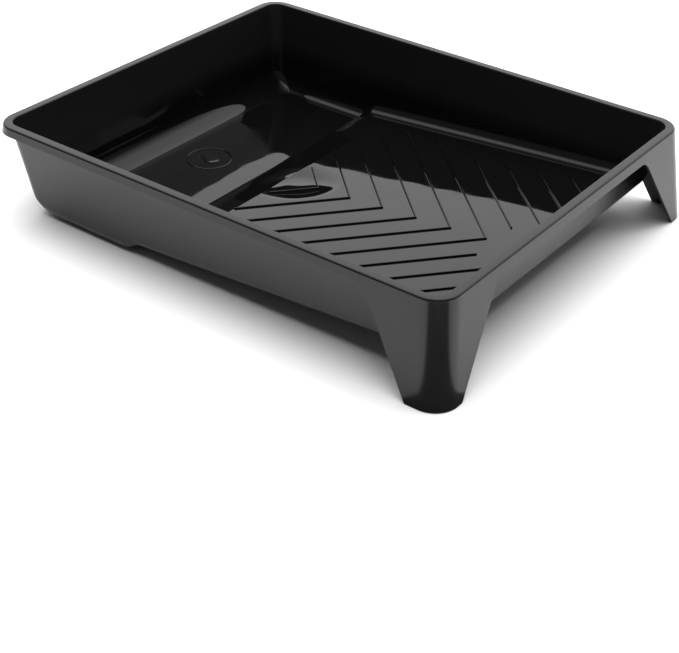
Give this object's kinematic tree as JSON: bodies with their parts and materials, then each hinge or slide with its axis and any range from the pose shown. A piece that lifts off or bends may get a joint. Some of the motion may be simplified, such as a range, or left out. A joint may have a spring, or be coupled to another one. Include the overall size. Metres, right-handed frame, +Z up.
{
  "type": "paint roller tray",
  "caption": "Moulded plastic paint roller tray: deep paint well, sloping ribbed ramp, flat rim with a turned-down lip, and sheet legs under the shallow end.",
  "frame": {"origin": "middle of the bounding box, at the level that the tray stands on", "axes": "+X from the paint well towards the legs, along the tray; +Y across it, and the tray is the same on both sides of the plane y = 0; +Z up, out of the open top"},
  "size_m": [0.3678, 0.3074, 0.0685],
  "materials": {
    "tray": "black polypropylene, glossy inside and satin outside"
  },
  "bodies": {
    "root": {"tray": "tray"}
  },
  "joints": []
}
